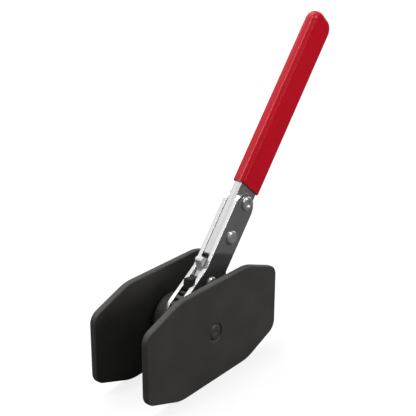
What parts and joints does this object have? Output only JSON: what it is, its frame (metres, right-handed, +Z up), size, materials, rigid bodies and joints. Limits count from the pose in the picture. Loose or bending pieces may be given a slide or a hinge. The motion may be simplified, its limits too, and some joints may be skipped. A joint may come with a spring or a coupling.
{
  "type": "ratcheting brake piston press",
  "caption": "Hand press with octagonal plates on left and right hand screws, driven apart by a reversible ratchet head on a flat bar handle with a dipped grip.",
  "frame": {"origin": "middle of the object's footprint, on the surface that the press plates stand on", "axes": "+X along the press plates towards the side the handle leans to, +Y along the screws from the front press plate to the rear one, +Z up"},
  "size_m": [0.1924, 0.0408, 0.1889],
  "materials": {
    "black_oxide": "blackened, satin, fine grain",
    "screw_steel": "dark oiled steel with machining marks",
    "nickel_plate": "bright plated, polished faces with fine brushing",
    "bar_steel": "bright drawn steel, brushed along its length",
    "red_vinyl": "dipped vinyl, semi-gloss, soft rounded edges",
    "spring_steel": "ground spring steel",
    "bronze": "plain bearing bronze"
  },
  "bodies": {
    "front_press": {"front_press_plate": "black_oxide", "front_screw": "screw_steel"},
    "head_washers": {"front_thrust_washer": "bronze", "rear_thrust_washer": "bronze"},
    "drive_wheel": {"ratchet_ring": "black_oxide", "threaded_sleeve": "black_oxide", "sleeve_key_right": "spring_steel", "sleeve_key_left": "spring_steel"},
    "handle": {"front_side_plate": "nickel_plate", "rear_side_plate": "nickel_plate", "handle_bar": "bar_steel", "handle_grip": "red_vinyl", "upper_rivet": "nickel_plate", "lower_rivet": "nickel_plate", "pawl_rivet": "nickel_plate", "pawl_bush": "bronze", "detent_spring": "spring_steel"},
    "rocking_pawl": {"pawl": "nickel_plate"},
    "detent": {"detent_plunger": "spring_steel"},
    "rear_press": {"rear_press_plate": "black_oxide", "rear_screw": "screw_steel"}
  },
  "joints": [
    {"name": "head_travel", "type": "slide", "parent": "front_press", "child": "head_washers", "axis": [0, 1, 0], "range_m": [-0.00075, 0.008]},
    {"name": "wheel_turn", "type": "hinge", "parent": "head_washers", "child": "drive_wheel", "pos_m": [-0.03871, 0.00103, 0.03], "axis": [0, 1, 0], "range_deg": [-90, 960]},
    {"name": "handle_swing", "type": "hinge", "parent": "head_washers", "child": "handle", "pos_m": [-0.03871, 0.00103, 0.03], "axis": [0, 1, 0], "continuous": true},
    {"name": "pawl_rock", "type": "hinge", "parent": "handle", "child": "rocking_pawl", "pos_m": [-0.02249, 0.00103, 0.04941], "axis": [0, 1, 0], "range_deg": [-10, 10]},
    {"name": "detent_press", "type": "slide", "parent": "handle", "child": "detent", "axis": [0.6414, 0, 0.7672], "range_m": [0, 0.0006], "stiffness_N_per_m": 200, "springref_m": -0.002},
    {"name": "rear_travel", "type": "slide", "parent": "head_washers", "child": "rear_press", "axis": [0, 1, 0], "range_m": [-0.00075, 0.008]}
  ],
  "couplings": [
    {"joint": "wheel_turn", "follows": "head_travel", "rad_per_m": 2094.4},
    {"joint": "rear_travel", "follows": "head_travel", "ratio": 1}
  ]
}
